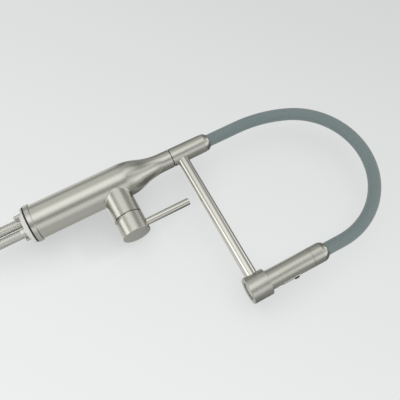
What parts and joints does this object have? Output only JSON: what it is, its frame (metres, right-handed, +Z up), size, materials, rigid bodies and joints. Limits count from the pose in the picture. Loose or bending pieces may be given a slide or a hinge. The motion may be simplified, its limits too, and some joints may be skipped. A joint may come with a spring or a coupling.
{
  "type": "kitchen tap",
  "caption": "Deck-mounted kitchen tap with a side lever, a swivelling arm, an arched silicone spout hose and a pull-out spray head that docks in a ring.",
  "frame": {"origin": "on the deck's top surface, under the centre of the column, in the gasket's underside", "axes": "+Z up along the column, +X from the column to the lever and, with the spout in line with it, to the spray head, +Y to the left of +X seen from above"},
  "size_m": [0.2735, 0.054, 0.8808],
  "materials": {
    "nickel": "brushed nickel finish",
    "steel": "plain stainless steel",
    "brass": "plain brass",
    "plated_nut": "nickel-plated brass",
    "braid": "stainless steel braid over a rubber tube",
    "silicone": "matte grey silicone",
    "tubing": "smooth flexible tube",
    "gasket": "dark blue-black rubber",
    "seal": "black rubber",
    "pale_plastic": "light grey plastic",
    "dark_plastic": "dark plastic",
    "cartridge_plastic": "moulded plastic",
    "ceramic": "ground ceramic",
    "button_black": "black plastic"
  },
  "bodies": {
    "root": {"base_ring": "nickel", "deck_gasket": "gasket", "stud_plate": "brass", "centring_collar": "pale_plastic", "fixing_studs": "brass", "column_body": "nickel", "valve_body": "brass", "inlet_tails": "brass", "inlet_sleeves": "steel", "supply_hose_roots": "braid", "supply_hose_cold": "braid", "supply_hose_hot": "braid", "outlet_sleeves": "steel", "union_nuts": "plated_nut", "cartridge_body": "cartridge_plastic", "port_seals": "seal", "fixed_disc": "ceramic", "cartridge_nut": "brass", "dome_cover": "dark_plastic", "neck_spigot": "brass", "swivel_seals": "seal", "glide_ring": "dark_plastic"},
    "temperature": {"spindle_carrier": "cartridge_plastic", "pivot_pin": "steel"},
    "disc": {"moving_disc": "ceramic", "disc_driver": "cartridge_plastic"},
    "flow": {"spindle": "steel", "handle_cap": "nickel", "lever_pin": "nickel", "handle_screw": "steel"},
    "swivel": {"collar_shell": "nickel", "keeper_screw": "steel", "arm_tube": "nickel", "arm_stud": "steel", "arm_end_plug": "steel", "holder_screw": "steel", "holder_ring": "nickel", "holder_liner": "dark_plastic", "spout_hose": "silicone", "inner_hose": "tubing", "lower_nipple": "brass"},
    "hose_end": {"end_cap": "nickel", "swivel_nipple": "brass", "swivel_o_ring": "seal"},
    "spray_head": {"spray_shell": "nickel", "spray_core": "dark_plastic", "head_retainer": "cartridge_plastic", "check_valve": "cartridge_plastic", "spray_face": "pale_plastic", "nozzle_mat": "silicone", "aerator": "pale_plastic", "face_seal": "seal"},
    "button": {"spray_button": "button_black", "diverter_plunger": "steel"}
  },
  "joints": [
    {"name": "spout_swivel", "type": "hinge", "parent": "root", "child": "swivel", "pos_m": [0, 0, 0.2316], "axis": [0, 0, 1], "continuous": true},
    {"name": "temperature", "type": "hinge", "parent": "root", "child": "temperature", "pos_m": [0.0435, 0, 0.125], "axis": [1, 0, 0], "range_deg": [-50, 50]},
    {"name": "flow", "type": "hinge", "parent": "temperature", "child": "flow", "pos_m": [0.0435, 0, 0.125], "axis": [0, 1, 0], "range_deg": [0, 18]},
    {"name": "disc_slide", "type": "slide", "parent": "temperature", "child": "disc", "axis": [0, 0, 1], "range_m": [0, 0.0038]},
    {"name": "spray_dock", "type": "slide", "parent": "swivel", "child": "hose_end", "axis": [0, 0, 1], "range_m": [0, 0.03], "deforming": ["spout_hose", "inner_hose"]},
    {"name": "head_spin", "type": "hinge", "parent": "hose_end", "child": "spray_head", "pos_m": [0.2195, 0, 0.3125], "axis": [0, 0, 1], "continuous": true},
    {"name": "spray_button", "type": "slide", "parent": "spray_head", "child": "button", "axis": [-1, 0, 0], "range_m": [0, 0.0012], "stiffness_N_per_m": 700, "springref_m": -0.004}
  ],
  "couplings": [
    {"joint": "disc_slide", "follows": "flow", "m_per_rad": 0.012}
  ]
}
